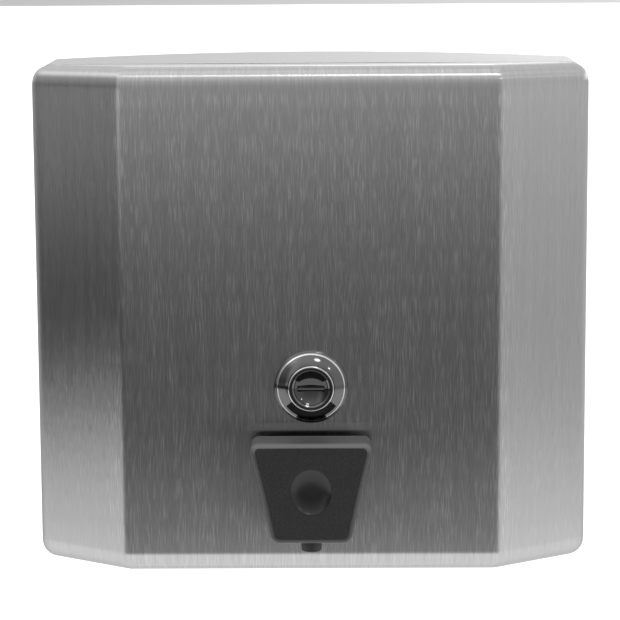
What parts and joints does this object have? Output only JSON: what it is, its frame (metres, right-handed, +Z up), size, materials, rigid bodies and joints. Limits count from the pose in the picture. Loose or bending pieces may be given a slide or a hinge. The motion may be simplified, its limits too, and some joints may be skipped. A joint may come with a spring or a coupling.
{
  "type": "wall mounted soap dispenser",
  "caption": "Wall mounted soap dispenser: steel back housing and tilting faceted front cover that carries the tank, a push button valve and a cam lock.",
  "frame": {"origin": "in the wall plane, at the centre of the four wall screw holes", "axes": "+Z up, +Y into the wall, +X to the right seen from the front"},
  "size_m": [0.178, 0.0976, 0.1632],
  "materials": {
    "brushed_shell": "vertical satin grain",
    "plain_steel": "mill finish, untreated inside parts",
    "rivet_steel": "turned, bright",
    "zinc_plate": "bright zinc plate",
    "black_rubber": "matt moulded",
    "seal_rubber": "smooth nitrile",
    "clear_silicone": "translucent silicone",
    "natural_polyethylene": "blown, slightly translucent white",
    "black_plastic": "fine grain",
    "button_plastic": "fine spark-eroded grain",
    "acetal_white": "smooth white acetal",
    "polished_steel": "polished stainless ball",
    "spring_steel": "drawn stainless wire",
    "lock_chrome": "polished chrome plate"
  },
  "bodies": {
    "housing": {"rear_housing": "brushed_shell", "hinge_leaf_rear": "plain_steel", "hinge_rivets_rear": "rivet_steel", "hinge_pin": "plain_steel", "latch_arm": "plain_steel", "latch_arm_rivets": "rivet_steel", "tank_buffers": "black_rubber"},
    "cover": {"front_cover": "brushed_shell", "hinge_leaf_cover": "plain_steel", "hinge_rivets_cover": "rivet_steel", "tank_studs": "zinc_plate", "tank_nuts": "zinc_plate", "soap_tank": "natural_polyethylene", "filler_neck": "natural_polyethylene", "tank_lugs": "natural_polyethylene", "spigot_spacer": "black_plastic", "union_nut": "black_plastic", "valve_cylinder": "acetal_white", "valve_gasket": "seal_rubber", "gland_cap": "acetal_white", "stem_o_ring": "seal_rubber", "inlet_seat": "acetal_white", "ball_cage": "acetal_white", "suction_tube": "natural_polyethylene", "return_spring": "spring_steel", "lock_trim_ring": "lock_chrome", "lock_body": "lock_chrome", "lock_washer": "zinc_plate", "lock_nut": "zinc_plate"},
    "cap": {"filler_cap": "black_plastic", "filler_cap_seal": "seal_rubber"},
    "button": {"push_button": "button_plastic", "spout_nozzle": "button_plastic", "drip_valve": "clear_silicone", "piston_stem": "acetal_white", "piston_seal": "seal_rubber"},
    "check_ball": {"inlet_ball": "polished_steel"},
    "key_plug": {"lock_plug": "lock_chrome", "lock_cam": "zinc_plate", "cam_screw": "zinc_plate"}
  },
  "joints": [
    {"name": "cover_tilt", "type": "hinge", "parent": "housing", "child": "cover", "pos_m": [0, -0.054, -0.076], "axis": [1, 0, 0], "range_deg": [0, 40]},
    {"name": "lock_turn", "type": "hinge", "parent": "cover", "child": "key_plug", "pos_m": [0, -0.075, -0.02], "axis": [0, 1, 0], "range_deg": [-90, 0]},
    {"name": "button_press", "type": "slide", "parent": "cover", "child": "button", "axis": [0, 1, 0], "range_m": [0, 0.004], "stiffness_N_per_m": 700, "springref_m": -0.008, "deforming": ["return_spring"]},
    {"name": "cap_turn", "type": "hinge", "parent": "cover", "child": "cap", "pos_m": [-0.045, -0.041, 0.07], "axis": [0, 0, 1], "range_deg": [0, 90]},
    {"name": "check_ball_lift", "type": "slide", "parent": "cover", "child": "check_ball", "axis": [0, -1, 0], "range_m": [0, 0.0015]}
  ]
}
